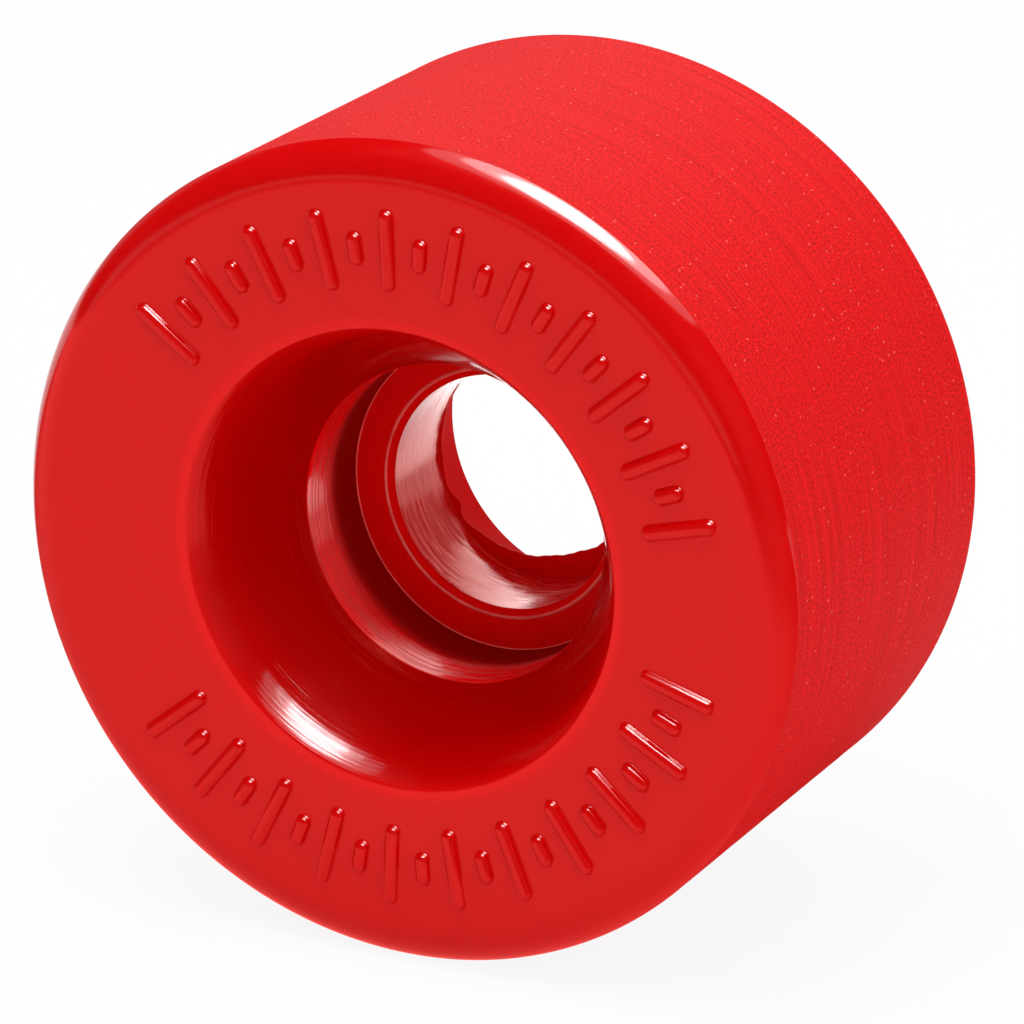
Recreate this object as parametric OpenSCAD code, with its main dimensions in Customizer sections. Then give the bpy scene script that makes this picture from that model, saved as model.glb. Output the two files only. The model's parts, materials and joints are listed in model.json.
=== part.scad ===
// Roller skate wheel: a soft tyre cast round a rigid hub core that holds two bearings.
// The axle line is the Y axis and the origin is the wheel's centre. The deep dish faces -Y.
// Every shape is drawn about the Z axis with its front towards +Z, then turned once into place.

/* [Tyre] */
// Diameter over the tread
wheel_d = 56; // [52:0.5:70]
// Width from face to face
wheel_w = 33; // [30:0.5:40]
// Radius of the moulded lip between a face and the tread
lip_r = 3.15; // [2:0.05:4.5]
// Depth ground off the moulded tread, which leaves a crisp edge on the lip
tread_grind = 0.3; // [0.05:0.05:0.8]

/* [Dishes] */
// How far the front dish widens, from the seat's mouth out to its edge
front_flare = 4.2; // [2.5:0.05:7]
// How far the front face falls from its lip to the dish's edge
front_dip = 0.65; // [0.1:0.05:1.2]
// Radius of the front dish's wall where it curves outwards below its edge
front_curve_r = 11; // [6:0.5:14]
// Slope of that wall at the edge, measured from the axle line
front_edge_slope = 40; // [32:1:48]
// Depth of the rear dish, from the face to the seat's mouth
rear_dish_depth = 2.1; // [1.5:0.1:4]
// How far the rear dish widens, from the seat's mouth out to the face
rear_flare = 1.5; // [1:0.05:4]
// Rounding of the rear dish's edge at the face
rear_edge_r = 1.2; // [0.4:0.1:2]

/* [Bearing seats] */
// Diameter of a seat, for a press-fitted bearing
seat_d = 22; // [19:0.5:25]
// Length of a seat's straight wall, the width of the bearing
seat_depth = 7; // [5:0.1:8]
// Length of the flared lead-in at a seat's mouth
lead_in = 0.7; // [0.3:0.1:1.2]
// How far the lead-in flares out from the seat's wall
lead_flare = 0.5; // [0.2:0.05:1]

/* [Hub core] */
// Thickness of the web between the two seats
web_t = 7.3; // [4.5:0.1:10]
// Diameter of the bore through the web
bore_d = 16.4; // [9:0.1:17]
// Rounding of the bore's two edges
bore_edge_r = 0.4; // [0.2:0.1:1.5]
// Width of the core's rim that shows round a seat's mouth
rim_w = 0.5; // [0.2:0.05:0.8]
// Thickness of the core's wall round a seat
core_wall = 2.6; // [2.2:0.1:4]
// How far the full wall stops short of a seat's mouth, under the tyre's edge
core_shoulder = 1; // [0.5:0.1:2]

/* [Keying] */
// How far the keying flange reaches into the tyre from the core's wall
flange_reach = 7.4; // [6:0.1:9]
// Thickness of the flange
flange_t = 4; // [2:0.1:6]
// Number of holes in the flange that the tyre grips through
key_holes = 8; // [4:1:10]
// Diameter of each hole in the flange
key_hole_d = 4.6; // [2:0.1:5]

/* [Hidden] */
$fn = 96;

tread_r = wheel_d / 2;
face_z = wheel_w / 2;
mould_r = tread_r + tread_grind;
lip_centre_r = mould_r - lip_r;

seat_r = seat_d / 2;
seat_mouth_r = seat_r + lead_flare;
rim_r = seat_mouth_r + rim_w;
core_r = seat_r + core_wall;
bore_r = bore_d / 2;

// Heights along the axle line of the seats' mouths and floors, counted up from the rear face
mouth_rear_z = rear_dish_depth - face_z;
floor_rear_z = mouth_rear_z + lead_in + seat_depth;
floor_front_z = floor_rear_z + web_t;
mouth_front_z = floor_front_z + seat_depth + lead_in;
front_dish_depth = face_z - mouth_front_z;
web_mid_z = (floor_front_z + floor_rear_z) / 2;

// The flange's holes sit midway between the core's wall and the flange's rim
flange_r = core_r + flange_reach;
key_circle_r = (core_r + flange_r) / 2;

// Extra reach of a cutting shape past the face that it opens
cut_over = 1;

// Section of the wheel as it leaves the mould, cut to the tread's radius
module ground_section() {
    intersection() {
        union() {
            translate([0, -face_z])
                square([lip_centre_r, wheel_w]);
            translate([0, lip_r - face_z])
                square([mould_r, wheel_w - 2 * lip_r]);
            for (side = [-1, 1])
                translate([lip_centre_r, side * (face_z - lip_r)])
                    circle(r = lip_r);
        }
        translate([0, -face_z])
            square([tread_r, wheel_w]);
    }
}

// Where a line from a point touches a circle that lies to its right, on the circle's upper side
function touch_point(point, centre, r) =
    let (
        across = centre - point,
        reach = norm(across),
        lean = atan2(across.y, across.x) + asin(r / reach)
    )
    point + sqrt(reach * reach - r * r) * [cos(lean), sin(lean)];

// Section of the space in front of the front face: a bell that opens from the seat's mouth to
// the dish's edge, and a shallow cone from there to the lip. The lip's crest is at height 0.
module front_dish_section() {
    mouth = [seat_mouth_r, -front_dish_depth];
    edge = [seat_mouth_r + front_flare, -front_dip];
    curve_centre = edge + front_curve_r * [cos(front_edge_slope), -sin(front_edge_slope)];
    lip_touch = touch_point(edge, [lip_centre_r, -lip_r], lip_r);
    difference() {
        polygon([
            [0, cut_over],
            [0, -front_dish_depth],
            mouth,
            touch_point(mouth, curve_centre, front_curve_r),
            curve_centre,
            [curve_centre.x, cut_over]
        ]);
        translate(curve_centre)
            circle(r = front_curve_r);
    }
    polygon([
        [0, cut_over],
        [0, -front_dip],
        edge,
        lip_touch,
        [lip_touch.x, cut_over]
    ]);
}

// Section of the space in the rear dish below a face at height 0: a cone that widens from the
// seat's mouth to the face, with its edge at the face rounded
module rear_dish_section() {
    slope = atan2(rear_flare, rear_dish_depth);
    reach = rear_edge_r * tan((90 - slope) / 2);
    face_r = seat_mouth_r + rear_flare;
    edge_centre = [face_r + reach, -rear_edge_r];
    wall_end = [face_r - reach * sin(slope), -reach * cos(slope)];
    difference() {
        polygon([
            [0, cut_over],
            [0, -rear_dish_depth],
            [seat_mouth_r, -rear_dish_depth],
            wall_end,
            edge_centre,
            [edge_centre.x, cut_over]
        ]);
        translate(edge_centre)
            circle(r = rear_edge_r);
    }
}

// The whole wheel before it is parted into tyre and core, with both dishes taken out
module wheel_blank() {
    rotate_extrude()
        difference() {
            ground_section();
            translate([0, face_z])
                front_dish_section();
            mirror([0, 1])
                translate([0, face_z])
                    rear_dish_section();
        }
}

// The parting surface between core and tyre: a narrow rim at each end, the core's wall,
// and a flange with holes that the tyre fills
module parting_body() {
    translate([0, 0, -face_z])
        cylinder(r = rim_r, h = wheel_w);
    translate([0, 0, mouth_rear_z + core_shoulder])
        cylinder(r = core_r, h = mouth_front_z - mouth_rear_z - 2 * core_shoulder);
    translate([0, 0, web_mid_z - flange_t / 2])
        difference() {
            cylinder(r = flange_r, h = flange_t);
            for (i = [0 : key_holes - 1])
                rotate(i * 360 / key_holes)
                    translate([key_circle_r, 0, -cut_over])
                        cylinder(d = key_hole_d, h = flange_t + 2 * cut_over);
        }
}

// Space for a bearing, from its floor at height 0 up through the flared mouth
module seat_space() {
    cylinder(r = seat_r, h = seat_depth);
    translate([0, 0, seat_depth])
        cylinder(r1 = seat_r, r2 = seat_mouth_r, h = lead_in);
}

// Space that the rounding of the bore's edge leaves open, below a seat's floor at height 0
module edge_space() {
    rotate_extrude()
        difference() {
            translate([0, -bore_edge_r])
                square([bore_r + bore_edge_r, bore_edge_r]);
            translate([bore_r + bore_edge_r, -bore_edge_r])
                circle(r = bore_edge_r);
        }
}

// Space of the bore through the web, with both of its edges rounded
module bore_space() {
    translate([0, 0, floor_rear_z])
        cylinder(r = bore_r, h = web_t);
    translate([0, 0, floor_front_z])
        edge_space();
    translate([0, 0, floor_rear_z])
        mirror([0, 0, 1])
            edge_space();
}

// Turns a shape drawn about Z so that its front faces -Y
module on_axle() {
    rotate([90, 0, 0])
        children();
}

module tyre() {
    color("#d8201f")
        on_axle()
            difference() {
                wheel_blank();
                parting_body();
            }
}

module hub_core() {
    color("#b01414")
        on_axle()
            difference() {
                intersection() {
                    wheel_blank();
                    parting_body();
                }
                translate([0, 0, floor_front_z])
                    seat_space();
                translate([0, 0, floor_rear_z])
                    mirror([0, 0, 1])
                        seat_space();
                bore_space();
            }
}

tyre();
hub_core();
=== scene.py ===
# %% [markdown]
# # A roller skate wheel
#
# This lesson dresses a small wheel of 56 mm: a soft urethane tyre that was cast round a rigid core. The
# construction is already there as two plain solids, and this script gives them their looks. Lengths are
# in metres, the axle lies along Y, the deep dish faces -Y, and Z is up.
#
# We could model everything from measurements again. It is safer to ask the solids for their sizes, so
# that the looks can't drift away from the construction.

# %% Load the solids
import json
import math
import random

import bmesh
import bpy
from mathutils import Euler, Matrix, Vector


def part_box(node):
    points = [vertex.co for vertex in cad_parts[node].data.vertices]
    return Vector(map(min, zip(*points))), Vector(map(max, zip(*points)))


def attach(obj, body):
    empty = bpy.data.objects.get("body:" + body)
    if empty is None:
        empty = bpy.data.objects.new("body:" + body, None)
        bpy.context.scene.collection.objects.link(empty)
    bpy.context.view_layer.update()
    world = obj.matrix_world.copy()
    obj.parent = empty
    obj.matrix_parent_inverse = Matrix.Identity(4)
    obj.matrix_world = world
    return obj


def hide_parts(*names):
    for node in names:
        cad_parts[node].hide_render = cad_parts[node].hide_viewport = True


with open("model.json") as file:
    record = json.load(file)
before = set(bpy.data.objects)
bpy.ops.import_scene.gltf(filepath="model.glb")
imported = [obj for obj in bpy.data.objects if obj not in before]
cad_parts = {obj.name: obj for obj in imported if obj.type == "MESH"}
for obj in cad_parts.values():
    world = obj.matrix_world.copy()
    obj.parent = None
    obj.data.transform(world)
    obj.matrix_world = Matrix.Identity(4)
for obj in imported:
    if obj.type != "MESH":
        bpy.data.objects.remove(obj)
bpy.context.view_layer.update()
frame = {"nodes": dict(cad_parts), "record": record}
print("solids:", sorted(frame["nodes"]))

# %% [markdown]
# ## Sizes
#
# The tread and the faces come from the tyre's box, and the seats and the bore from the record's mounts.
# The other sizes are those of the moulds: lips, dishes, rims and the flange that is hidden in the tyre.

# %% Read the main sizes
MM = 0.001


def rounded(length):
    """A length read from the solids, to a hundredth of a millimetre."""
    return round(length, 5)


tyre_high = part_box("tyre")[1]
tread_r = rounded(max(tyre_high.x, tyre_high.z))
face_y = rounded(tyre_high.y)

mounts = {mount["name"]: mount for mount in frame["record"]["mounts"]}


def mount_span(name):
    """Radius of a mount, and its two ends along the axle line from front to rear."""
    mount = mounts[name]
    middle = mount["pos_m"][1]
    half = mount["dims"]["length_mm"] * MM / 2
    return mount["dims"]["r_mm"] * MM, rounded(middle - half), rounded(middle + half)


seat_r, front_seat_y, front_floor_y = mount_span("front_bearing_seat")
seat_r, rear_floor_y, rear_seat_y = mount_span("rear_bearing_seat")
bore_r = mount_span("centre_bore")[0]
print("tread radius", tread_r, "faces at", face_y, "seat", seat_r, "bore", bore_r)

# %% [markdown]
# ## Camera
#
# The picture is taken from the front, a little to the right and from above, with a long lens. A camera
# can be aimed with a constraint, but two angles and a distance say more about the view.
#
# The solids were selected when they were loaded, and an operator acts on all that is selected. So the
# selection is cleared before anything new is added, here and later.

# %% Set up the camera


def clear_selection():
    """Leaves edit mode and clears the selection, so that operators touch only what is new."""
    if bpy.context.mode != "OBJECT":
        bpy.ops.object.mode_set(mode="OBJECT")
    bpy.ops.object.select_all(action="DESELECT")


view_azimuth = math.radians(26.52)
view_elevation = math.radians(19.10)
view_distance = 375.9 * MM
aim_point = Vector((5.85, -10.71, 2.74)) * MM
lens_mm = 203.3
sensor_mm = 36

view_turn = Euler((math.pi / 2 - view_elevation, 0, view_azimuth))
towards_camera = view_turn.to_matrix() @ Vector((0, 0, 1))
clear_selection()
bpy.ops.object.camera_add(location=aim_point + towards_camera * view_distance, rotation=view_turn)
camera = bpy.context.object
camera.data.lens = lens_mm
camera.data.sensor_width = sensor_mm
camera.data.clip_start = 0.01
bpy.context.scene.camera = camera
print("camera at", tuple(round(c, 4) for c in camera.location))

# %% [markdown]
# ## Nodes and colours
#
# Colours are picked from a swatch as sRGB hex values, but shaders reckon in linear light, so one
# function converts them. Another adds a node with its settings and its links in a single call. Two
# settings that come back often, for a soft fade and for a product, have names.

# %% Helpers for materials


def linear(hex_colour):
    """The linear colour of an sRGB hex value such as #d62222."""
    channels = [int(hex_colour[i:i + 2], 16) / 255 for i in (1, 3, 5)]
    return tuple(c / 12.92 if c <= 0.04045 else ((c + 0.055) / 1.055) ** 2.4 for c in channels) + (1,)


def feed(tree, node, links):
    """Feeds sockets of a node, given by name or number, from sockets of other nodes."""
    for name, source in links.items():
        tree.links.new(source, node.inputs[name])


def add_node(tree, kind, settings=None, links=None):
    """Adds a shader node. Settings name its sockets or its properties, and links feed its sockets."""
    node = tree.nodes.new("ShaderNode" + kind)
    for name, value in (settings or {}).items():
        if isinstance(name, int) or name in node.inputs:
            node.inputs[name].default_value = value
        else:
            setattr(node, name, value)
    feed(tree, node, links or {})
    return node


soft_step = {"interpolation_type": "SMOOTHSTEP"}
product = {"operation": "MULTIPLY"}
print("red of the swatch in linear light:", linear("#d62222")[:3])

# %% [markdown]
# ## Studio
#
# A small product like this is shot on a white sweep under a softbox, in a dark room, with a lit
# backdrop behind it. The sweep could be lit until it burns out, but then the wheel would burn out with
# it. Instead, it is white to the camera and in reflections, it takes the wheel's shadow, and it lights
# the wheel as grey paper does.
#
# Glossy red looks deep only where it mirrors something dark. So the room is dark in reflections, apart
# from the backdrop, and a red card lies in front of the wheel, as photographers lay one to warm a
# reflection. It is brightest where the flat face mirrors it, and it fades out softly above the floor
# and to the right. A white card lies behind, where the bore mirrors it. Only reflections show the
# cards.

# %% Sweep and surroundings
bpy.context.scene.view_settings.view_transform = "Standard"

paper_white = 0.76
shown_white = 0.9
fill_level = 0.72
room_dark = 0.02
backdrop_level = 0.25
card_red = linear("#ff6560")
card_level = 3.0
horizon_level = 1.3
plain_white = (1, 1, 1, 1)
sweep_size = 4


def shown_directly(tree):
    """A socket that is 1 for what the camera sees, directly or mirrored, and 0 for light that bounces."""
    seen = add_node(tree, "LightPath")
    mirrored = add_node(tree, "Math", {"operation": "MAXIMUM"},
                        {0: seen.outputs["Is Glossy Ray"], 1: seen.outputs["Is Transmission Ray"]})
    shown = add_node(tree, "Math", {"operation": "MAXIMUM"},
                     {0: seen.outputs["Is Camera Ray"], 1: mirrored.outputs[0]})
    return shown.outputs[0]


clear_selection()
bpy.ops.mesh.primitive_plane_add(size=sweep_size, location=(0, 0, -tread_r))
sweep = bpy.context.object
sweep.name = "sweep"

paper = bpy.data.materials.new("white_paper")
paper.use_nodes = True
tree = paper.node_tree
tree.nodes.clear()
lit_paper = add_node(tree, "BsdfDiffuse", {"Color": (paper_white, paper_white, paper_white, 1)})
white = add_node(tree, "Emission", {"Color": plain_white, "Strength": 1})
share = add_node(tree, "Math", product | {1: shown_white}, {0: shown_directly(tree)})
sheet = add_node(tree, "MixShader", None,
                 {0: share.outputs[0], 1: lit_paper.outputs[0], 2: white.outputs[0]})
add_node(tree, "OutputMaterial", None, {"Surface": sheet.outputs[0]})
sweep.data.materials.append(paper)
print("sweep at", round(sweep.location.z, 4))

# %% [markdown]
# ## Room
#
# The room is what reflections show beyond the sweep. A photographed room would serve, but a few
# directions are enough. Y tells what lies behind the wheel and in front of it, Z how high it is, and X
# how far to the right. Where the masks meet lies the backdrop, or the glow above the red card.

# %% Room
backdrop_start_y = 0.15
backdrop_full_y = 0.5
backdrop_top_z = 0.6
backdrop_full_z = 0.4
glow_start_y = -0.2
glow_full_y = -0.6
glow_top_z = 0.22
glow_end_x = 0.5
glow_full_x = 0.1

world = bpy.data.worlds.new("white_room")
world.use_nodes = True
bpy.context.scene.world = world
tree = world.node_tree
tree.nodes.clear()
seen = add_node(tree, "LightPath")
looking = add_node(tree, "TexCoord")
towards = add_node(tree, "SeparateXYZ", None, {0: looking.outputs["Generated"]})
behind = add_node(tree, "MapRange",
                  soft_step | {"From Min": backdrop_start_y, "From Max": backdrop_full_y},
                  {"Value": towards.outputs["Y"]})
low = add_node(tree, "MapRange",
               soft_step | {"From Min": backdrop_top_z, "From Max": backdrop_full_z},
               {"Value": towards.outputs["Z"]})
backdrop_area = add_node(tree, "Math", product, {0: behind.outputs[0], 1: low.outputs[0]})
white_room = add_node(tree, "MapRange", {"To Min": room_dark, "To Max": backdrop_level},
                      {"Value": backdrop_area.outputs[0]})
before = add_node(tree, "MapRange", soft_step | {"From Min": glow_start_y, "From Max": glow_full_y},
                  {"Value": towards.outputs["Y"]})
lowest = add_node(tree, "MapRange", soft_step | {"From Min": glow_top_z, "From Max": 0},
                  {"Value": towards.outputs["Z"]})
front_glow = add_node(tree, "Math", product, {0: before.outputs[0], 1: lowest.outputs[0]})
leftwards = add_node(tree, "MapRange", soft_step | {"From Min": glow_end_x, "From Max": glow_full_x},
                     {"Value": towards.outputs["X"]})
glow_area = add_node(tree, "Math", product, {0: front_glow.outputs[0], 1: leftwards.outputs[0]})
mirrored_room = add_node(tree, "Mix", {"data_type": "FLOAT", 3: horizon_level},
                         {0: glow_area.outputs[0], 2: white_room.outputs[0]})
mirrored_glow = add_node(tree, "Math", product, {0: glow_area.outputs[0], 1: seen.outputs["Is Glossy Ray"]})
tint = add_node(tree, "Mix", {"data_type": "RGBA", 6: plain_white, 7: card_red},
                {0: mirrored_glow.outputs[0]})
shown_room = add_node(tree, "Mix", {"data_type": "FLOAT", 2: 1},
                      {0: seen.outputs["Is Glossy Ray"], 3: mirrored_room.outputs[0]})
level = add_node(tree, "Mix", {"data_type": "FLOAT", 2: fill_level},
                 {0: shown_directly(tree), 3: shown_room.outputs[0]})
room = add_node(tree, "Background", None, {"Color": tint.outputs[2], "Strength": level.outputs[0]})
add_node(tree, "OutputWorld", None, {"Surface": room.outputs[0]})
print("room light", fill_level, "room in reflections", room_dark)

# %% [markdown]
# ## Cards
#
# Both cards lie a hair above the sweep. Real cards would need lamps of their own, so these glow by
# themselves. The red one fades towards the wheel's foot, the horizon and the right, and the white one
# is a soft oval spot.

# %% Cards on the floor
card_lift = 0.1 * MM
red_card_x = (-2, 2)
red_card_y = (-2, 0.03)
full_glow_y = -0.05
low_glow_y = 0.02
fade_start_y = -0.2
fade_end_y = -0.9
fade_start_x = 0.04
fade_end_x = 0.15
fade_share = 0.25
card_low_level = 0.8
white_card_level = 2.6
white_card_r = 0.075
white_card_y = 0.074
white_card_squash = 2
white_spot_share = 0.3


def lay_card(name, x_span, y_span):
    """A card on the sweep that only reflections show, with an empty material."""
    clear_selection()
    bpy.ops.mesh.primitive_plane_add(size=1, location=(sum(x_span) / 2, sum(y_span) / 2, card_lift - tread_r))
    card = bpy.context.object
    card.name = name
    card.scale = (x_span[1] - x_span[0], y_span[1] - y_span[0], 1)
    bpy.ops.object.transform_apply(location=True, rotation=True, scale=True)
    card.visible_camera = False
    card.visible_diffuse = False
    card.visible_transmission = False
    card.visible_shadow = False
    paint = bpy.data.materials.new(name)
    paint.use_nodes = True
    paint.node_tree.nodes.clear()
    card.data.materials.append(paint)
    return paint.node_tree


tree = lay_card("red_card", red_card_x, red_card_y)
spot = add_node(tree, "TexCoord")
card_axes = add_node(tree, "SeparateXYZ", None, {0: spot.outputs["Object"]})
glow = add_node(tree, "MapRange",
                soft_step | {"From Min": full_glow_y, "From Max": low_glow_y,
                             "To Min": card_level, "To Max": card_low_level},
                {"Value": card_axes.outputs["Y"]})
fading = add_node(tree, "MapRange",
                  soft_step | {"From Min": fade_start_y, "From Max": fade_end_y,
                               "To Min": 1, "To Max": horizon_level / card_level},
                  {"Value": card_axes.outputs["Y"]})
faded = add_node(tree, "Math", product, {0: glow.outputs[0], 1: fading.outputs[0]})
sideways = add_node(tree, "MapRange",
                    soft_step | {"From Min": fade_start_x, "From Max": fade_end_x,
                                 "To Min": 1, "To Max": fade_share},
                    {"Value": card_axes.outputs["X"]})
card_glow = add_node(tree, "Math", product, {0: faded.outputs[0], 1: sideways.outputs[0]})
lit_card = add_node(tree, "Emission", {"Color": card_red}, {"Strength": card_glow.outputs[0]})
add_node(tree, "OutputMaterial", None, {"Surface": lit_card.outputs[0]})

white_card_depth = white_card_r / white_card_squash
tree = lay_card("white_card", (-white_card_r, white_card_r),
                (white_card_y - white_card_depth, white_card_y + white_card_depth))
spot = add_node(tree, "TexCoord")
stretched = add_node(tree, "VectorMath", product | {1: (1, white_card_squash, 1)},
                     {0: spot.outputs["Object"]})
card_middle = (0, white_card_squash * white_card_y, -tread_r)
from_middle = add_node(tree, "VectorMath", {"operation": "DISTANCE", 1: card_middle},
                       {0: stretched.outputs[0]})
glow = add_node(tree, "MapRange",
                soft_step | {"From Min": white_spot_share * white_card_r, "From Max": white_card_r,
                             "To Min": white_card_level, "To Max": shown_white},
                {"Value": from_middle.outputs["Value"]})
lit_card = add_node(tree, "Emission", {"Color": plain_white}, {"Strength": glow.outputs[0]})
add_node(tree, "OutputMaterial", None, {"Surface": lit_card.outputs[0]})
print("red card level", card_level, "white card", white_card_level)

# %% [markdown]
# ## Lamps
#
# The softbox hangs over the wheel. Its reflection makes the gleams on the lip and in the dish, but a
# reflection needs a brighter box than the red itself does. So several lamps stand for it: one lights
# the red, and three, a bright middle and two dimmer rims, show only in gloss. A lit backdrop also shows
# only in gloss. Two broad lamps at the right, one in front and one behind, only light the red.

# %% Lamps


def add_softbox(name, towards, distance, width, depth, radiance, shape="RECTANGLE"):
    """A lamp of this size and brightness that looks at the wheel from this direction."""
    clear_selection()
    place = towards.normalized() * distance
    turn = towards.to_track_quat("Z", "Y").to_euler()
    bpy.ops.object.light_add(type="AREA", location=place, rotation=turn)
    lamp = bpy.context.object
    lamp.name = name
    lamp.data.shape = shape
    lamp.data.size = width
    lamp.data.size_y = depth
    area = width * depth * (math.pi / 4 if shape == "ELLIPSE" else 1)
    lamp.data.energy = radiance * math.pi * area
    return lamp


lamp_distance = 0.7
lamp_size = 0.5
red_lamps = (
    ("softbox", Vector((-0.1, -0.2, 1)), 4.2),
    ("front_fill", Vector((0.9, -0.5, 0.3)), 1.75),
    ("back_fill", Vector((0.35, 0.93, 0.05)), 2.4),
)
for name, side, radiance in red_lamps:
    lamp = add_softbox(name, side, lamp_distance, lamp_size, lamp_size, radiance)
    lamp.visible_glossy = False

gleam_distance = 0.36
gleam_lamps = (
    ("softbox_gleam", Vector((0.21, -0.12, 0.97)), 0.2, 17),
    ("softbox_rim", Vector((0.22, 0.02, 0.97)), 0.33, 6),
    ("softbox_haze", Vector((0.22, 0.04, 0.97)), 0.46, 1.6),
)
for name, overhead, spread, radiance in gleam_lamps:
    lamp = add_softbox(name, overhead, gleam_distance, spread, spread, radiance, "ELLIPSE")
    lamp.visible_diffuse = False
backdrop = add_softbox("backdrop_gleam", Vector((-0.2, 0.9, 0.42)), 0.9, 0.9, 0.45, 3.6, "ELLIPSE")
backdrop.visible_diffuse = False

# %% [markdown]
# ## Drawing a section
#
# Both pieces are turned shapes, so each is drawn as half a section beside the axle line and spun once
# round. A ready cylinder with cuts would do, but a drawn section keeps every radius where a drawing
# shows it. The section lies in the XY plane: X is the distance from the axle line and Y runs along it.

# %% Helpers for sections
spin_steps = 288
crease_angle = math.radians(12)
merge_gap = 0.0005 * MM


def draw_section(name, corners):
    """Draws a closed section by extruding one point from corner to corner, and stays in edit mode."""
    clear_selection()
    bpy.ops.mesh.primitive_plane_add(size=MM, location=(corners[0][0], corners[0][1], 0))
    section = bpy.context.object
    section.name = name
    bpy.ops.object.transform_apply(location=True, rotation=True, scale=True)
    bpy.ops.object.mode_set(mode="EDIT")
    bpy.ops.mesh.select_all(action="SELECT")
    bpy.ops.mesh.merge(type="CENTER")
    for here, there in zip(corners, corners[1:]):
        step = (there[0] - here[0], there[1] - here[1], 0)
        bpy.ops.mesh.extrude_vertices_move(TRANSFORM_OT_translate={"value": step})
    bpy.ops.mesh.select_all(action="SELECT")
    bpy.ops.mesh.edge_face_add()
    return section


def round_corner(section, corner, radius, segments):
    """Rounds the corner of the section at this place."""
    mesh = bmesh.from_edit_mesh(section.data)
    bpy.ops.mesh.select_all(action="DESELECT")
    place = Vector((corner[0], corner[1], 0))
    point = min(mesh.verts, key=lambda vert: (vert.co - place).length)
    arms = [(edge.other_vert(point).co - point.co) for edge in point.link_edges]
    reach = radius / math.tan(arms[0].angle(arms[1]) / 2)
    point.select = True
    mesh.select_flush_mode()
    bmesh.update_edit_mesh(section.data)
    bpy.ops.mesh.bevel(offset_type="OFFSET", offset=reach, segments=segments, profile=0.5, affect="VERTICES")


def spin_section(section):
    """Spins the section once round the axle line and closes the seam."""
    bpy.ops.mesh.select_all(action="SELECT")
    bpy.ops.mesh.delete(type="ONLY_FACE")
    bpy.ops.mesh.select_all(action="SELECT")
    bpy.ops.mesh.spin(steps=spin_steps, angle=math.tau, center=(0, 0, 0), axis=(0, 1, 0))
    bpy.ops.mesh.select_all(action="SELECT")
    bpy.ops.mesh.remove_doubles(threshold=merge_gap)
    bpy.ops.mesh.normals_make_consistent(inside=False)
    bpy.ops.object.mode_set(mode="OBJECT")
    bpy.ops.object.shade_smooth_by_angle(angle=crease_angle)
    print(section.name, "has", len(section.data.polygons), "faces")


# %% [markdown]
# ## Tyre
#
# The tyre leaves its mould with full round lips, and then its tread is ground true, which cuts the
# lips' ends off and leaves a crisp edge. The section is made the same way: the corners are rounded, and
# the outside is cut back to the tread with a bisect. Inside, the section follows the core that the
# urethane was cast round.
#
# The front face falls a little from its lip to the dish, and a little more in a soft shoulder at the
# dish's edge. The dish opens like a bell. Its curve is one arc, which touches the straight wall below
# it. The same step finds where a line touches the arc, and where the face touches the lip.
#
# The grinding belt leaves ridges round the wheel. They could be bump alone, but the coarse ones show at
# the outline, so the tread's line is divided and each of its points is cut back by its own small depth.

# %% Tyre section
lip_r = 3.15 * MM
tread_grind = 0.3 * MM
mould_r = tread_r + tread_grind

lead_in = 0.7 * MM
lead_flare = 0.5 * MM
rim_w = 0.5 * MM
core_wall = 2.6 * MM
core_shoulder = 1 * MM
flange_reach = 7.4 * MM
flange_t = 4 * MM
front_flare = 4.2 * MM
front_dip = 0.65 * MM
front_curve_r = 11 * MM
front_edge_slope = math.radians(40)
front_edge_r = 0.3 * MM
shoulder_w = 0.8 * MM
shoulder_slope = math.radians(9)
shoulder_r = 12 * MM
rear_flare = 1.5 * MM
rear_edge_r = 1.2 * MM

mouth_r = seat_r + lead_flare
rim_r = mouth_r + rim_w
core_r = seat_r + core_wall
flange_r = core_r + flange_reach
front_mouth_y = front_seat_y - lead_in
rear_mouth_y = rear_seat_y + lead_in
web_middle_y = (front_floor_y + rear_floor_y) / 2
flange_front_y = web_middle_y - flange_t / 2
flange_rear_y = web_middle_y + flange_t / 2


def touch_slope(point, centre, radius):
    """Slope, from the outward direction, of the line from a point that touches the front of a circle."""
    outwards = centre[0] - point[0]
    forwards = point[1] - centre[1]
    return math.atan2(forwards, outwards) + math.asin(radius / math.hypot(outwards, forwards))


front_dish_edge = (mouth_r + front_flare, front_dip - face_y)
curve_centre = (front_dish_edge[0] + front_curve_r * math.cos(front_edge_slope),
                front_dish_edge[1] + front_curve_r * math.sin(front_edge_slope))
wall_slope = math.pi / 2 - touch_slope((mouth_r, front_mouth_y), curve_centre, front_curve_r)
shoulder = (front_dish_edge[0] + shoulder_w, front_dish_edge[1] - shoulder_w * math.tan(shoulder_slope))
face_slope = touch_slope(shoulder, (mould_r - lip_r, lip_r - face_y), lip_r)
front_lip_corner = (mould_r, shoulder[1] - math.tan(face_slope) * (mould_r - shoulder[0]))
# With these steps, no point of a lip falls close to the cut of the tread
front_lip_steps = 23
rear_lip_steps = 22
curve_steps = 10
dish_curve = []
for k in range(curve_steps + 1):
    slope = wall_slope + (front_edge_slope - wall_slope) * k / curve_steps
    dish_curve.append((curve_centre[0] - front_curve_r * math.cos(slope),
                       curve_centre[1] - front_curve_r * math.sin(slope)))
rear_dish_corner = (mouth_r + rear_flare, face_y)
front_seam_y = front_mouth_y - rim_w / math.tan(wall_slope)
rear_seam_y = rear_mouth_y + rim_w * (face_y - rear_mouth_y) / rear_flare

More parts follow.
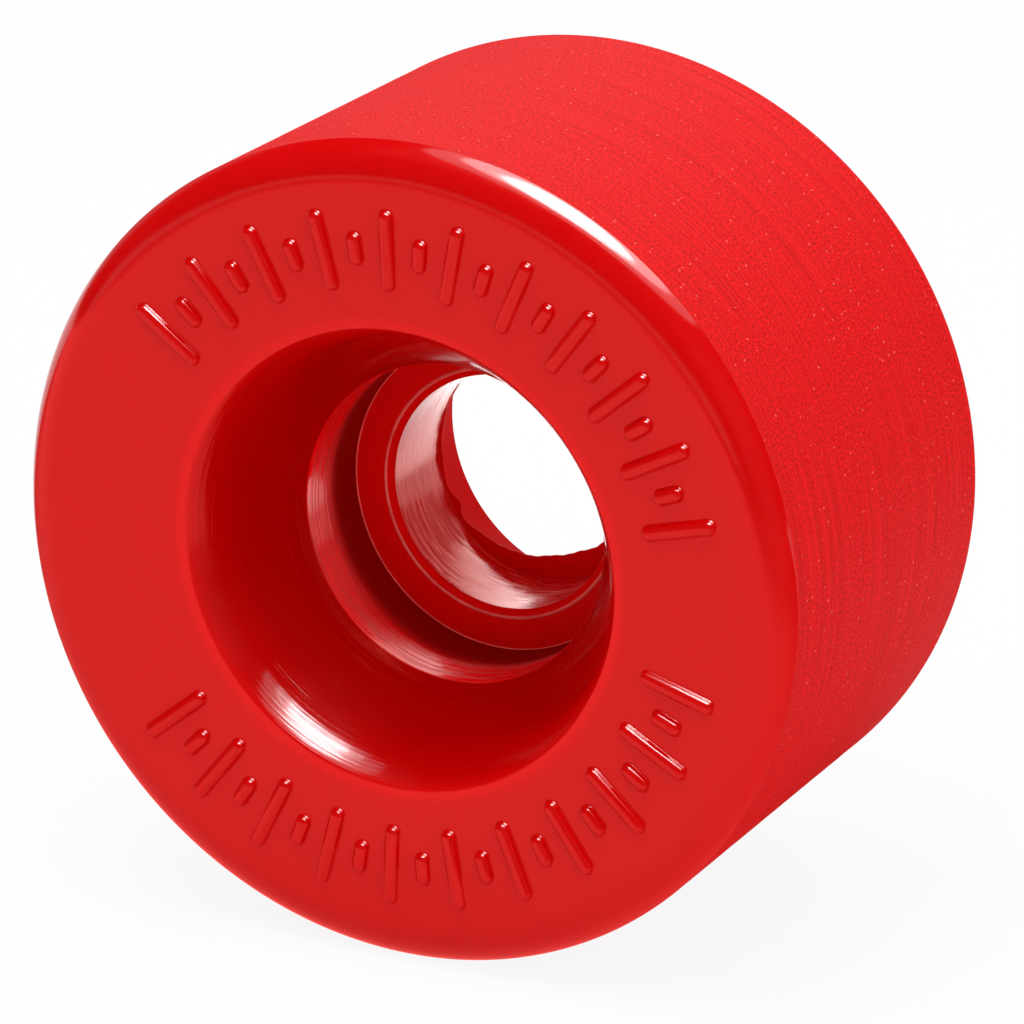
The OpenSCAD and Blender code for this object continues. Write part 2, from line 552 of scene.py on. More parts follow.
tyre_corners = [
    (rim_r, front_seam_y),
    *dish_curve,
    shoulder,
    front_lip_corner,
    (mould_r, face_y),
    rear_dish_corner,
    (rim_r, rear_seam_y),
    (rim_r, rear_mouth_y - core_shoulder),
    (core_r, rear_mouth_y - core_shoulder),
    (core_r, flange_rear_y),
    (flange_r, flange_rear_y),
    (flange_r, flange_front_y),
    (core_r, flange_front_y),
    (core_r, front_mouth_y + core_shoulder),
    (rim_r, front_mouth_y + core_shoulder),
]
tyre = draw_section("urethane_tyre", tyre_corners)
round_corner(tyre, front_dish_edge, front_edge_r, 4)
round_corner(tyre, shoulder, shoulder_r, 6)
round_corner(tyre, front_lip_corner, lip_r, front_lip_steps)
round_corner(tyre, (mould_r, face_y), lip_r, rear_lip_steps)
round_corner(tyre, rear_dish_corner, rear_edge_r, 8)
print("tyre section has", len(bmesh.from_edit_mesh(tyre.data).verts), "points")

# %% Grind the tread and spin the tyre
near = 0.001 * MM
cut_gap = 0.0001 * MM
tread_edge_r = 0.25 * MM
ridge_count = 64
ridge_depth = 0.02 * MM
cut_angle = math.acos((lip_r - tread_grind) / lip_r)
edge_reach = tread_edge_r * math.tan(cut_angle / 2)
dice = random.Random(7)

bpy.ops.mesh.select_all(action="SELECT")
bpy.ops.mesh.bisect(plane_co=(tread_r, 0, 0), plane_no=(1, 0, 0), clear_outer=True, threshold=cut_gap)
section_points = [vert.co.copy() for vert in bmesh.from_edit_mesh(tyre.data).verts]
tread_y = max(point.y for point in section_points if point.x > tread_r - near)
for side in (-1, 1):
    round_corner(tyre, (tread_r, side * tread_y), tread_edge_r, 3)

mesh = bmesh.from_edit_mesh(tyre.data)
for edge in mesh.edges:
    edge.select_set(all(vert.co.x > tread_r - near for vert in edge.verts))
bmesh.update_edit_mesh(tyre.data)
bpy.ops.mesh.subdivide(number_cuts=ridge_count)
mesh = bmesh.from_edit_mesh(tyre.data)
for vert in sorted(mesh.verts, key=lambda vert: vert.co.y):
    if vert.co.x > tread_r - near and abs(vert.co.y) < tread_y - 2 * edge_reach:
        vert.co.x -= ridge_depth * dice.random()
bmesh.update_edit_mesh(tyre.data)
spin_section(tyre)
print("tread is", round(2 * tread_y / MM, 2), "mm wide")

# %% [markdown]
# ## Hub core
#
# The core is a stiff moulding. It has a seat for a bearing at each end, a web between them that the
# bearings stop against, and a bore through the web. A fine ridge of flash stands round the bore's front
# edge. Most of the core is hidden by the urethane.

# %% Core section
bore_edge_r = 0.4 * MM
seat_corner_r = 0.1 * MM
mouth_edge_r = 0.12 * MM

ridge_gap = 0.16 * MM
ridge_half = 0.12 * MM
ridge_h = 0.1 * MM
ridge_tip_r = 0.06 * MM
ridge_r = bore_r + bore_edge_r + ridge_gap
ridge_top = (ridge_r, front_floor_y - ridge_h)

core_corners = [
    (mouth_r, front_mouth_y),
    (seat_r, front_seat_y),
    (seat_r, front_floor_y),
    (ridge_r + ridge_half, front_floor_y),
    ridge_top,
    (ridge_r - ridge_half, front_floor_y),
    (bore_r, front_floor_y),
    (bore_r, rear_floor_y),
    (seat_r, rear_floor_y),
    (seat_r, rear_seat_y),
    (mouth_r, rear_mouth_y),
    (rim_r, rear_seam_y),
    (rim_r, rear_mouth_y - core_shoulder),
    (core_r, rear_mouth_y - core_shoulder),
    (core_r, flange_rear_y),
    (flange_r, flange_rear_y),
    (flange_r, flange_front_y),
    (core_r, flange_front_y),
    (core_r, front_mouth_y + core_shoulder),
    (rim_r, front_mouth_y + core_shoulder),
    (rim_r, front_seam_y),
]
core = draw_section("hub_moulding", core_corners)
for floor_y in (front_floor_y, rear_floor_y):
    round_corner(core, (bore_r, floor_y), bore_edge_r, 8)
    round_corner(core, (seat_r, floor_y), seat_corner_r, 4)
round_corner(core, ridge_top, ridge_tip_r, 4)
for mouth_y in (front_mouth_y, rear_mouth_y):
    round_corner(core, (mouth_r, mouth_y), mouth_edge_r, 3)
spin_section(core)

# %% [markdown]
# ## Flash in the bore
#
# The bore's far edge is where two halves of the mould met. A little plastic was squeezed between them
# there and left a thin ragged film: a narrow strip with one lump, and a wide part at the lower right. A
# cut-out disc would be too even. Here an arc of a circle is extruded inwards, and each point of its new
# edge is moved to its own radius.

# %% Film at the bore's rear edge
film_middle = math.radians(155)
film_half = math.radians(152)
film_w = 1.5 * MM
film_spread = math.radians(76)
strip_w = 0.26 * MM
lump_middle = math.radians(86)
lump_spread = math.radians(5)
lump_w = 0.4 * MM
film_t = 0.16 * MM
film_root = 0.06 * MM
film_y = rear_floor_y - bore_edge_r
film_rag = 0.05 * MM
film_steps = 240


def from_film_middle(point):
    """Angle from the film's widest place to a point, clockwise as seen from the front."""
    return math.remainder(math.atan2(point.x, point.z) - film_middle, math.tau)


def film_width(angle):
    """Width of the film at this angle from its widest place: wide part, strip, lump and a ragged edge."""
    wide = film_w * math.cos(min(abs(angle) / film_spread, 1) * math.pi / 2)
    lump = lump_w * math.exp(-((angle - lump_middle) / lump_spread) ** 2)
    rag = film_rag * (math.sin(7 * angle) + 0.7 * math.sin(17 * angle + 1) + 0.4 * math.sin(44 * angle))
    return wide + lump + (strip_w + rag) * (1 - (angle / film_half) ** 4)


clear_selection()
bpy.ops.mesh.primitive_circle_add(vertices=film_steps, radius=bore_r + film_root, fill_type="NOTHING",
                                  location=(0, film_y, 0), rotation=(math.pi / 2, 0, 0))
film = bpy.context.object
film.name = "bore_film"
bpy.ops.object.transform_apply(location=True, rotation=True, scale=True)
bpy.ops.object.mode_set(mode="EDIT")
mesh = bmesh.from_edit_mesh(film.data)
for vert in mesh.verts:
    vert.select_set(abs(from_film_middle(vert.co)) > film_half)
bmesh.update_edit_mesh(film.data)
bpy.ops.mesh.delete(type="VERT")
bpy.ops.mesh.select_all(action="SELECT")
bpy.ops.mesh.extrude_edges_move(TRANSFORM_OT_translate={"value": (0, 0, 0)})
mesh = bmesh.from_edit_mesh(film.data)
for vert in mesh.verts:
    if vert.select:
        edge_r = bore_r - film_width(from_film_middle(vert.co))
        scale = edge_r / math.hypot(vert.co.x, vert.co.z)
        vert.co.x *= scale
        vert.co.z *= scale
bmesh.update_edit_mesh(film.data)
bpy.ops.object.mode_set(mode="OBJECT")
bpy.ops.object.modifier_add(type="SOLIDIFY")
film.modifiers[-1].thickness = film_t
film.modifiers[-1].offset = 0
bpy.ops.object.modifier_apply(modifier=film.modifiers[-1].name)
bpy.ops.object.shade_smooth_by_angle(angle=crease_angle)
print("film has", len(film.data.polygons), "faces")

# %% Join the film to the core
clear_selection()
film.select_set(True)
core.select_set(True)
bpy.context.view_layer.objects.active = core
bpy.ops.object.join()
print("core and film have", len(core.data.polygons), "faces")

# %% [markdown]
# ## Face marks
#
# The face carries raised marks in two arcs, as a dial does: plain bars, long and short by turns. They
# were cut into the mould with a round-nosed tool, so each is a rounded bead that flares where it meets
# the face. A bar with bevelled edges would look sawn. Here a flat disc is extruded a little, so that
# the bead is closed below, and then inset, step by step, up a bell-shaped curve. The insets stop a
# little short of the bead's middle line, so that its two sides don't meet. One bead of each length is
# then copied round the face.

# %% One bead
crown_r = 0.5 * MM
foot_r = 0.22 * MM
flank = math.radians(76)
bead_half_w = (crown_r + foot_r) * math.sin(flank)
bead_sink = 0.02 * MM
bead_steps = 26
inset_share = 0.96
bead_root = 0.05 * MM
mark_inner_r = 18.2 * MM
mark_outer_r = 24.0 * MM


def bead_curve(foot_steps, crown_steps):
    """Points of the bead's slope, as distance from its edge and height: a hollow foot, a round crown."""
    points = []
    for k in range(foot_steps + 1):
        angle = flank * k / foot_steps
        points.append((foot_r * math.sin(angle), foot_r * (1 - math.cos(angle))))
    foot_in, foot_up = points[-1]
    for k in range(1, crown_steps + 1):
        angle = flank * (1 - k / crown_steps)
        points.append((foot_in + crown_r * (math.sin(flank) - math.sin(angle)),
                       foot_up + crown_r * (math.cos(angle) - math.cos(flank))))
    return points


def make_bead(name, inner_r, outer_r):
    """A raised bead on the falling front face, upright at the top of the wheel, between two radii."""
    clear_selection()
    middle_r = (inner_r + outer_r) / 2
    middle_y = shoulder[1] - math.tan(face_slope) * (middle_r - shoulder[0])
    stretch = (outer_r - inner_r) / 2 - bead_half_w
    outwards = Vector((0, -math.sin(face_slope), math.cos(face_slope)))
    forwards = Vector((0, -math.cos(face_slope), -math.sin(face_slope)))
    foot_place = Vector((0, middle_y + bead_sink, middle_r))
    bpy.ops.mesh.primitive_circle_add(vertices=bead_steps, radius=bead_half_w, fill_type="NGON",
                                      location=foot_place - forwards * bead_root,
                                      rotation=(math.pi / 2 + face_slope, 0, 0))
    bead = bpy.context.object
    bead.name = name
    bpy.ops.object.transform_apply(location=True, rotation=True, scale=True)
    bpy.ops.object.mode_set(mode="EDIT")
    for side in (-1, 1):
        bpy.ops.mesh.select_all(action="DESELECT")
        mesh = bmesh.from_edit_mesh(bead.data)
        for vert in mesh.verts:
            vert.select = (vert.co.z - middle_r) * side > 0
        bmesh.update_edit_mesh(bead.data)
        bpy.ops.transform.translate(value=outwards * side * stretch)
    bpy.ops.mesh.select_all(action="SELECT")
    bpy.ops.mesh.extrude_region_move(TRANSFORM_OT_translate={"value": forwards * bead_root})
    curve = bead_curve(4, 8)
    for below, above in zip(curve, curve[1:]):
        bpy.ops.mesh.inset(thickness=inset_share * (above[0] - below[0]), depth=above[1] - below[1])
    bpy.ops.mesh.select_all(action="SELECT")
    bpy.ops.mesh.normals_make_consistent(inside=False)
    bpy.ops.object.mode_set(mode="OBJECT")
    bpy.ops.object.shade_smooth()
    return bead


short_half = 1.3 * MM
mark_middle_r = (mark_inner_r + mark_outer_r) / 2
long_bead = make_bead("bead_long", mark_inner_r, mark_outer_r)
short_bead = make_bead("bead_short", mark_middle_r - short_half, mark_middle_r + short_half)
print("one bead has", len(long_bead.data.polygons), "faces")

# %% Copy the beads round the face
marks_per_arc = 21
mark_pitch = math.radians(6.3)
arc_middles = (math.radians(12), math.radians(168))


def copy_round(pattern, angle):
    """A copy of a bead, turned clockwise round the axle line as seen from the front."""
    copy = pattern.copy()
    copy.data = pattern.data.copy()
    copy.data.transform(Matrix.Rotation(angle, 4, "Y"))
    bpy.context.collection.objects.link(copy)
    return copy


beads = []
for arc_middle in arc_middles:
    for i in range(marks_per_arc):
        angle = arc_middle + (i - (marks_per_arc - 1) / 2) * mark_pitch
        beads.append(copy_round(long_bead if i % 2 == 0 else short_bead, angle))
for pattern in (long_bead, short_bead):
    bpy.data.objects.remove(pattern)
clear_selection()
for bead in beads:
    bead.select_set(True)
bpy.context.view_layer.objects.active = beads[0]
bpy.ops.object.join()
marks = bpy.context.object
marks.name = "face_marks"
print("face marks:", len(beads), "beads,", len(marks.data.polygons), "faces")

# %% [markdown]
# ## Urethane, as moulded
#
# Cast polyurethane, dyed red through and through. The faces, the lips and the dish took their finish
# from a polished mould, so they gleam, with a slight unevenness where the resin shrank. Light soaks in,
# so the sharp edges of the dish and the lips look brighter, and the dish's depth darker. Volume
# scattering would show that, but grainy and slowly, so here both are painted into the red: a painted
# glow near the dish's edge and the lips' edges, and a painted shade that deepens down the dish.

# %% Moulded urethane


def new_material(name, constants):
    """A material, its nodes, its shader with these constants, and the object coordinates for its patterns."""
    material = bpy.data.materials.new(name)
    material.use_nodes = True
    tree = material.node_tree
    shader = tree.nodes["Principled BSDF"]
    for socket, value in constants.items():
        shader.inputs[socket].default_value = value
    return material, tree, shader, add_node(tree, "TexCoord").outputs["Object"]


def unroll(tree, place, wall_r):
    """A socket for the place on a round wall of this radius, as if the wall were unrolled flat."""
    axes = add_node(tree, "SeparateXYZ", None, {0: place})
    turn = add_node(tree, "Math", {"operation": "ARCTAN2"}, {0: axes.outputs["X"], 1: axes.outputs["Z"]})
    along = add_node(tree, "Math", product | {1: wall_r}, {0: turn.outputs[0]})
    wall = add_node(tree, "CombineXYZ", None, {"X": along.outputs[0], "Y": axes.outputs["Y"]})
    return wall.outputs[0]


urethane_ior = 1.5
moulded, tree, shader, place = new_material("moulded_urethane", {"IOR": urethane_ior})
face_red = "#bc0102"
face_cloud_red = "#c00203"
# Painted light: a lighter red, blended in near the edges as a painted glow.
painted_glow_red = "#d00305"
# Painted shade: a darker red that deepens down the front dish. The seat's streaks borrow it as their darker
# tone.
painted_shade_and_streak_red = "#a00000"
glow_w = 1.2 * MM
lip_glow_w = 2.8 * MM
painted_lip_glow = 0.45
edge_shade = 0.3
dark_depth = 4.5 * MM
dish_fade_out = 0.2 * MM
dish_fade_in = 0.1 * MM
cloud_size = 14 * MM
haze_size = 1.6 * MM
ripple_size = 3.5 * MM
ripple_depth = 0.01 * MM
clouds = add_node(tree, "TexNoise", {"Scale": 1 / cloud_size, "Detail": 2}, {"Vector": place})
clouded = add_node(tree, "Mix", {"data_type": "RGBA", 6: linear(face_red), 7: linear(face_cloud_red)},
                   {0: clouds.outputs["Fac"]})
axes = add_node(tree, "SeparateXYZ", None, {0: place})
from_axle = add_node(tree, "CombineXYZ", None, {"X": axes.outputs["X"], "Y": axes.outputs["Z"]})
radius = add_node(tree, "VectorMath", {"operation": "LENGTH"}, {0: from_axle.outputs[0]})
depth = add_node(tree, "MapRange",
                 {"From Min": front_dish_edge[1], "From Max": dark_depth - face_y, "To Min": edge_shade},
                 {"Value": axes.outputs["Y"]})
within_edge = add_node(tree, "MapRange",
                       {"From Min": front_dish_edge[0] + dish_fade_out,
                        "From Max": front_dish_edge[0] - dish_fade_in},
                       {"Value": radius.outputs["Value"]})
at_front = add_node(tree, "Math", {"operation": "LESS_THAN", 1: 0}, {0: axes.outputs["Y"]})
in_dish = add_node(tree, "Math", product, {0: within_edge.outputs[0], 1: at_front.outputs[0]})
# Painted shade: how much of the dark red the dish gets, from its edge down to its depth.
shade = add_node(tree, "Math", product, {0: depth.outputs[0], 1: in_dish.outputs[0]})
section_place = add_node(tree, "CombineXYZ", None, {"X": radius.outputs["Value"], "Y": axes.outputs["Y"]})
from_edge = add_node(tree, "VectorMath", {"operation": "DISTANCE", 1: (*front_dish_edge, 0)},
                     {0: section_place.outputs[0]})
# Painted glow near the dish's edge, and below it, near the lips' edges.
glowing = add_node(tree, "MapRange", soft_step | {"From Min": glow_w, "From Max": 0},
                   {"Value": from_edge.outputs["Value"]})
from_middle = add_node(tree, "Math", {"operation": "ABSOLUTE"}, {0: axes.outputs["Y"]})
lip_place = add_node(tree, "CombineXYZ", None, {"X": radius.outputs["Value"], "Y": from_middle.outputs[0]})
from_lip = add_node(tree, "VectorMath", {"operation": "DISTANCE", 1: (tread_r, tread_y, 0)},
                    {0: lip_place.outputs[0]})
lip_glowing = add_node(tree, "MapRange",
                       soft_step | {"From Min": lip_glow_w, "From Max": 0, "To Max": painted_lip_glow},
                       {"Value": from_lip.outputs["Value"]})
painted_glow_mask = add_node(tree, "Math", {"operation": "MAXIMUM"},
                   {0: glowing.outputs[0], 1: lip_glowing.outputs[0]})
# The painted glow goes on first, and the painted shade over it.
with_painted_glow = add_node(tree, "Mix", {"data_type": "RGBA", 7: linear(painted_glow_red)},
                 {0: painted_glow_mask.outputs[0], 6: clouded.outputs[2]})
red = add_node(tree, "Mix", {"data_type": "RGBA", 7: linear(painted_shade_and_streak_red)},
               {0: shade.outputs[0], 6: with_painted_glow.outputs[2]})
haze = add_node(tree, "TexNoise", {"Scale": 1 / haze_size, "Detail": 4}, {"Vector": place})
gloss = add_node(tree, "MapRange", {"To Min": 0.06, "To Max": 0.14}, {"Value": haze.outputs["Fac"]})
ripple = add_node(tree, "TexNoise", {"Scale": 1 / ripple_size, "Detail": 1}, {"Vector": place})
ripple_bump = add_node(tree, "Bump", {"Distance": ripple_depth}, {"Height": ripple.outputs["Fac"]})
feed(tree, shader, {"Base Color": red.outputs[2], "Roughness": gloss.outputs[0]})
print("moulded urethane has", len(tree.nodes), "nodes")

# %% [markdown]
# ## Turning marks
#
# The part of the mould that made the dish was turned on a lathe, and its fine rings came off on the
# urethane. They could be cut as grooves, but they are far finer than a mesh can be. A noise that is
# stretched round the dish gives them as bump, and only inside the dish. Real rings are about a tenth of
# this width, which wouldn't show.

# %% Turning marks in the dish
mark_length = 16 * MM
mark_width = 0.14 * MM
mark_depth = 0.014 * MM
turn = add_node(tree, "Math", {"operation": "ARCTAN2"}, {0: axes.outputs["X"], 1: axes.outputs["Z"]})
round_dish = add_node(tree, "Math", product | {1: mouth_r / mark_length}, {0: turn.outputs[0]})
down_dish = add_node(tree, "Math", product | {1: 1 / mark_width}, {0: radius.outputs["Value"]})
dish_place = add_node(tree, "CombineXYZ", None, {"X": round_dish.outputs[0], "Y": down_dish.outputs[0]})
turned = add_node(tree, "TexNoise", {"noise_dimensions": "2D", "Scale": 1, "Detail": 2},
                  {"Vector": dish_place.outputs[0]})
turned_bump = add_node(tree, "Bump", {"Distance": mark_depth},
                       {"Strength": in_dish.outputs[0], "Height": turned.outputs["Fac"],
                        "Normal": ripple_bump.outputs[0]})
feed(tree, shader, {"Normal": turned_bump.outputs[0]})
for piece in (tyre, marks):
    piece.data.materials.append(moulded)
print("turning marks", mark_width / MM, "mm apart")

# %% [markdown]
# ## Nylon, polished
#
# The core is moulded in nylon of the same red. It has three kinds of surface, and a fourth material
# that paints glints on two fine edges. The front seat's wall is polished near its mouth, where bearings
# slide in, and matt further down, where a painted shade darkens its red. Its lead-in takes the dish's
# painted shade. One finish with painted patches could hold all of that, but here the place along the
# axle line decides, so that the change follows the seat's depth.

# %% Polished nylon
nylon_ior = 1.53
seat_shine = {"IOR": nylon_ior, "Specular IOR Level": 0.34, "Specular Tint": linear("#ff8a7e")}
polished, tree, shader, place = new_material("polished_nylon", seat_shine)
seat_red = "#f41012"
# Painted shade: the seat wall's red darkens further down, towards its floor.
painted_deep_shade_red = "#880000"
scuff_length = 6 * MM
scuff_width = 0.22 * MM
scuff_depth = 0.003 * MM
mouth_fade = 0.1 * MM
polish_end = 2.2 * MM
deep_start = 4.4 * MM
deep_roughness = 0.6
axle_place = add_node(tree, "SeparateXYZ", None, {0: place}).outputs["Y"]
wall = unroll(tree, place, seat_r)
scuff_scale = (1 / scuff_length, 1 / scuff_width, 1)
scuff_place = add_node(tree, "Mapping", {"Scale": scuff_scale}, {"Vector": wall})
scuffs = add_node(tree, "TexNoise", {"noise_dimensions": "2D", "Scale": 1, "Detail": 3},
                  {"Vector": scuff_place.outputs[0]})
bump = add_node(tree, "Bump", {"Distance": scuff_depth}, {"Height": scuffs.outputs["Fac"]})
polish = add_node(tree, "MapRange",
                  {"From Min": 0.35, "From Max": 0.65, "To Min": 0.04, "To Max": 0.3},
                  {"Value": scuffs.outputs["Fac"]})
mouth = add_node(tree, "MapRange",
                 {"From Min": front_seat_y - mouth_fade, "From Max": front_seat_y}, {"Value": axle_place})
streak = add_node(tree, "MapRange", {"From Min": 0.4, "From Max": 0.7, "To Max": 0.6},
                  {"Value": scuffs.outputs["Fac"]})
streaky_red = add_node(tree, "Mix", {"data_type": "RGBA", 6: linear(seat_red), 7: linear(painted_shade_and_streak_red)},
                       {0: streak.outputs[0]})
# The lead-in below the seat's mouth takes the dish's painted shade red.
mouth_shade_and_seat_red = add_node(tree, "Mix", {"data_type": "RGBA", 6: linear(painted_shade_and_streak_red)},
                     {0: mouth.outputs[0], 7: streaky_red.outputs[2]})
deep = add_node(tree, "MapRange",
                soft_step | {"From Min": front_seat_y + polish_end, "From Max": front_seat_y + deep_start},
                {"Value": axle_place})
gloss = add_node(tree, "Mix", {"data_type": "FLOAT", 3: deep_roughness},
                 {0: deep.outputs[0], 2: polish.outputs[0]})
# Further down, the painted shade red takes over as the wall turns matt.
red = add_node(tree, "Mix", {"data_type": "RGBA", 7: linear(painted_deep_shade_red)},
               {0: deep.outputs[0], 6: mouth_shade_and_seat_red.outputs[2]})
feed(tree, shader, {"Base Color": red.outputs[2], "Roughness": gloss.outputs[0], "Normal": bump.outputs[0]})
print("polished nylon has", len(tree.nodes), "nodes")

# %% [markdown]
# ## Nylon, satin
#
# The seat's floor and the rear end are as they left the mould, which was blasted with fine grit there.
# A plain matt red would look like paper, so a fine grain moves the red, the gloss and the bump
# together.

# %% Satin nylon
satin, tree, shader, place = new_material("satin_nylon", {"IOR": nylon_ior, "Specular IOR Level": 0.01})
satin_grain = 0.3 * MM
grain_depth = 0.01 * MM
grain = add_node(tree, "TexNoise", {"Scale": 1 / satin_grain, "Detail": 3}, {"Vector": place})
red = add_node(tree, "Mix", {"data_type": "RGBA", 6: linear("#cc0405"), 7: linear("#e60506")},
               {0: grain.outputs["Fac"]})
gloss = add_node(tree, "MapRange", {"To Min": 0.3, "To Max": 0.5}, {"Value": grain.outputs["Fac"]})
bump = add_node(tree, "Bump", {"Distance": grain_depth}, {"Height": grain.outputs["Fac"]})
feed(tree, shader, {"Base Color": red.outputs[2], "Roughness": gloss.outputs[0], "Normal": bump.outputs[0]})
print("satin nylon has", len(tree.nodes), "nodes")

# %% [markdown]
# ## Nylon, scuffed
#
# A steel pin shaped the bore, and it scuffed the nylon as it was drawn out and turned. Whitened streaks
# run round the bore, and the sheen between them is strong, because the bore is seen at a low angle.
# Scratches could be modelled one by one, but a stretched noise on the unrolled wall makes hundreds at
# once.

# %% Scuffed nylon
bore_shine = {"IOR": nylon_ior, "Specular IOR Level": 0.9, "Specular Tint": linear("#ff9c8e")}
scuffed, tree, shader, place = new_material("scuffed_nylon", bore_shine)
drag_length = 4 * MM
drag_width = 0.3 * MM
drag_depth = 0.009 * MM
wall = unroll(tree, place, bore_r)
drag_scale = (1 / drag_length, 1 / drag_width, 1)
drag_place = add_node(tree, "Mapping", {"Scale": drag_scale}, {"Vector": wall})
drags = add_node(tree, "TexNoise",
                 {"noise_dimensions": "2D", "Scale": 1, "Detail": 4, "Distortion": 0.8},
                 {"Vector": drag_place.outputs[0]})
streaks = add_node(tree, "MapRange", {"From Min": 0.4, "From Max": 0.72}, {"Value": drags.outputs["Fac"]})
red = add_node(tree, "Mix", {"data_type": "RGBA", 6: linear("#d40c0e"), 7: linear("#f0544e")},
               {0: streaks.outputs[0]})
gloss = add_node(tree, "MapRange",
                 {"From Min": 0.3, "From Max": 0.7, "To Min": 0.04, "To Max": 0.34},
                 {"Value": drags.outputs["Fac"]})
bump = add_node(tree, "Bump", {"Distance": drag_depth}, {"Height": drags.outputs["Fac"]})
feed(tree, shader, {"Base Color": red.outputs[2], "Roughness": gloss.outputs[0], "Normal": bump.outputs[0]})
print("scuffed nylon has", len(tree.nodes), "nodes")

# %% [markdown]
# ## Nylon, with painted glints
#
# The ridge of flash and the corner of the seat's floor carry a paler red, in patches: painted
# highlights, for the light that these fine edges catch. A mask from the mesh's sharpness could find
# such edges, but these two are known, so they get a material of their own, and each face of the core
# takes its material by its place.

# %% Nylon with painted glints
# Painted highlight: pale patches of red that stand in for glints on the ridge and the seat's corner.
painted_glint_nylon, tree, shader, place = new_material("nylon_painted_glints", {"IOR": nylon_ior, "Roughness": 0.25})
glint_patch_size = 2 * MM
glint_patches = add_node(tree, "TexNoise", {"Scale": 1 / glint_patch_size, "Detail": 3}, {"Vector": place})
red = add_node(tree, "Mix", {"data_type": "RGBA", 6: linear("#cc1416"), 7: linear("#f4726a")},
               {0: glint_patches.outputs["Fac"]})
feed(tree, shader, {"Base Color": red.outputs[2]})
print("worn nylon has", len(tree.nodes), "nodes")

# %% Faces of each core material
floor_margin = 0.005 * MM
core_materials = [polished, satin, scuffed, painted_glint_nylon]


def core_material_here(middle):
    """The material of the core's face that has its middle here."""
    middle_r = math.hypot(middle.x, middle.z)
    before_floor = middle.y < front_floor_y - floor_margin
    on_ridge = abs(middle_r - ridge_r) < ridge_half
    in_corner = middle_r > seat_r - seat_corner_r and middle.y > front_floor_y - seat_corner_r
    if abs(middle_r - bore_r) < floor_margin:
        return scuffed
    # The ridge and the seat's corner take the painted highlights.
    if before_floor and (on_ridge or in_corner):
        return painted_glint_nylon
    return polished if before_floor else satin


for finish in core_materials:
    core.data.materials.append(finish)
for polygon in core.data.polygons:
    polygon.material_index = core_materials.index(core_material_here(polygon.center))
for index, finish in enumerate(core_materials):
    print(finish.name, "on", sum(polygon.material_index == index for polygon in core.data.polygons), "faces")

# %% [markdown]
# ## Urethane, as ground
#
# The tread was ground true on a lathe. The belt left fine lines round the wheel, torn grains between
# them, and pale specks where it tore a grain out. The pattern is drawn on the unrolled tread: along it
# and across it.

# %% Ground urethane
ground_shine = {"IOR": urethane_ior, "Specular IOR Level": 0.02, "Roughness": 0.62}
ground, tree, shader, place = new_material("ground_urethane", ground_shine)
unrolled = unroll(tree, place, tread_r)

line_length = 30 * MM
line_width = 0.24 * MM
patch_size = 7 * MM
grain_size = 0.2 * MM
torn_depth = 0.05 * MM
line_scale = (1 / line_length, 1 / line_width, 1)
line_place = add_node(tree, "Mapping", {"Scale": line_scale}, {"Vector": unrolled})
lines = add_node(tree, "TexNoise", {"noise_dimensions": "2D", "Scale": 1, "Detail": 3},
                 {"Vector": line_place.outputs[0]})
grain = add_node(tree, "TexNoise", {"noise_dimensions": "2D", "Scale": 1 / grain_size, "Detail": 3},
                 {"Vector": unrolled})
patches = add_node(tree, "TexNoise", {"noise_dimensions": "2D", "Scale": 1 / patch_size, "Detail": 1},
                   {"Vector": unrolled})
lined = add_node(tree, "MapRange",
                 {"From Min": 0.4, "From Max": 0.65, "To Min": 0.15, "To Max": 0.42},
                 {"Value": patches.outputs["Fac"]})
torn = add_node(tree, "Mix", {"data_type": "FLOAT"},
                {0: lined.outputs[0], 2: grain.outputs["Fac"], 3: lines.outputs["Fac"]})
bump = add_node(tree, "Bump", {"Distance": torn_depth}, {"Height": torn.outputs[0]})

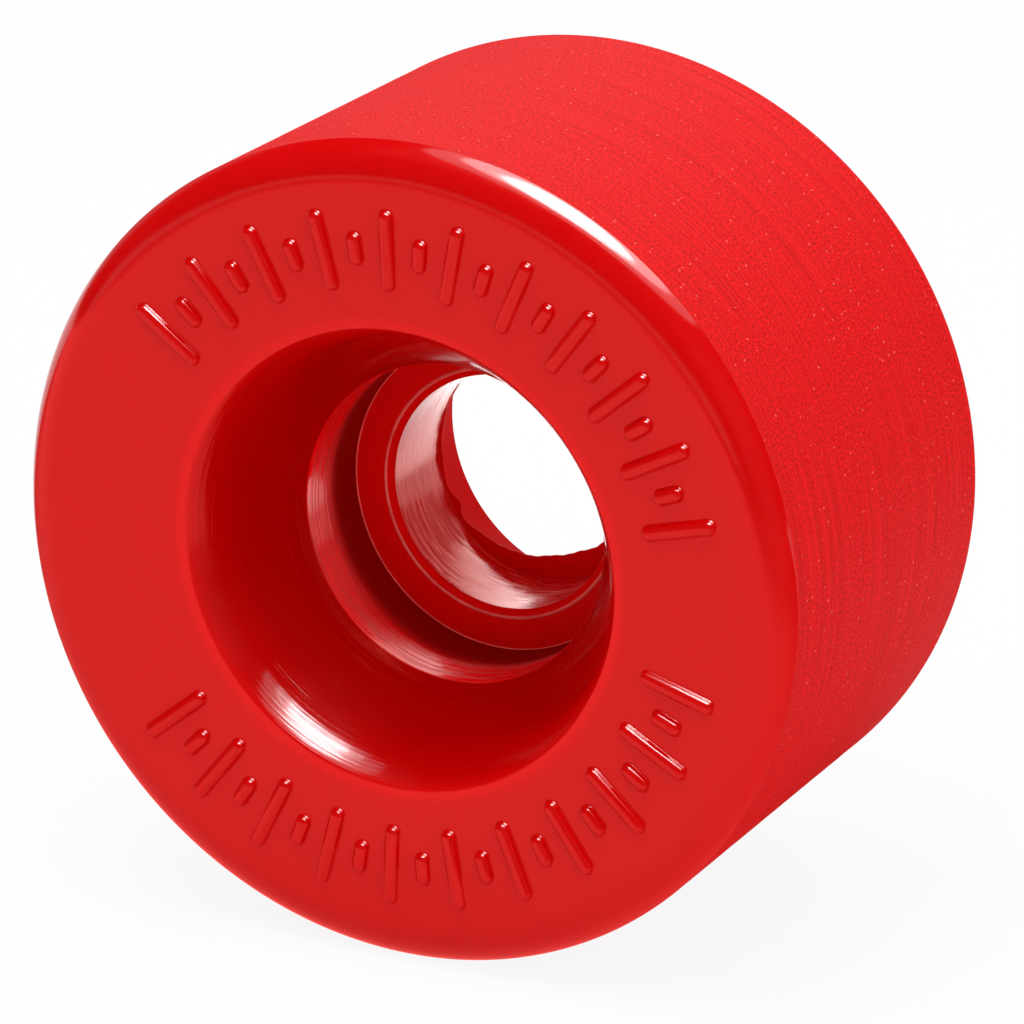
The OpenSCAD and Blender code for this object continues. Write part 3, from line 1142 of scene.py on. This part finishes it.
speck_spacing = 1.0 * MM
speck_r = 0.1 * MM
speck_soft = 0.06 * MM
speck_strength = 0.65
specks = add_node(tree, "TexVoronoi", {"voronoi_dimensions": "2D", "Scale": 1 / speck_spacing},
                  {"Vector": unrolled})
draw = add_node(tree, "SeparateColor", None, {0: specks.outputs["Color"]})
own_r = add_node(tree, "MapRange",
                 {"From Min": 0.3, "To Min": -speck_soft / speck_spacing, "To Max": speck_r / speck_spacing},
                 {"Value": draw.outputs["Red"]})
within_speck = add_node(tree, "Math", {"operation": "SUBTRACT"},
                        {0: own_r.outputs[0], 1: specks.outputs["Distance"]})
speck = add_node(tree, "MapRange", {"From Max": speck_soft / speck_spacing, "To Max": speck_strength},
                 {"Value": within_speck.outputs[0]})
contrast = add_node(tree, "MapRange", {"From Min": 0.3, "From Max": 0.7}, {"Value": torn.outputs[0]})
red = add_node(tree, "Mix", {"data_type": "RGBA", 6: linear("#a40a0c"), 7: linear("#e61416")},
               {0: contrast.outputs[0]})
speckled = add_node(tree, "Mix", {"data_type": "RGBA", 7: linear("#f4988f")},
                    {0: speck.outputs[0], 6: red.outputs[2]})
feed(tree, shader, {"Base Color": speckled.outputs[2], "Normal": bump.outputs[0]})
print("ground urethane has", len(tree.nodes), "nodes")

# %% [markdown]
# ## Urethane, frayed at the edge
#
# Where the belt ran off the lip, the edge is frayed to a pale line. It is urethane again, but matt and
# bleached.

# %% Frayed edge, and the faces of each finish
frayed_shine = {"Specular IOR Level": 0.02, "Roughness": 0.5}
frayed, tree, shader, place = new_material("frayed_urethane", frayed_shine)
fray_size = 0.5 * MM
fray = add_node(tree, "TexNoise", {"Scale": 1 / fray_size, "Detail": 2}, {"Vector": place})
pale = add_node(tree, "Mix", {"data_type": "RGBA", 6: linear("#b40608"), 7: linear("#d4302e")},
                {0: fray.outputs["Fac"]})
feed(tree, shader, {"Base Color": pale.outputs[2]})
tyre.data.materials.append(ground)
tyre.data.materials.append(frayed)

edge_faces = 0
for polygon in tyre.data.polygons:
    middle = polygon.center
    if math.hypot(middle.x, middle.z) > tread_r - tread_grind:
        if abs(middle.y) < tread_y - edge_reach:
            polygon.material_index = 1
        elif abs(middle.y) < tread_y + edge_reach:
            polygon.material_index = 2
            edge_faces += 1
print("frayed faces:", edge_faces)

# %% [markdown]
# ## The pieces on the body
#
# The tyre and the core stand for their solids, and the marks lie on the tyre. All three ride on the wheel's
# one body.

# %% Finish
for piece, node, slot in ((tyre, "tyre", "tyre"), (core, "hub_core", "hub_core")):
    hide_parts(node)
    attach(piece, "root")
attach(marks, "root")
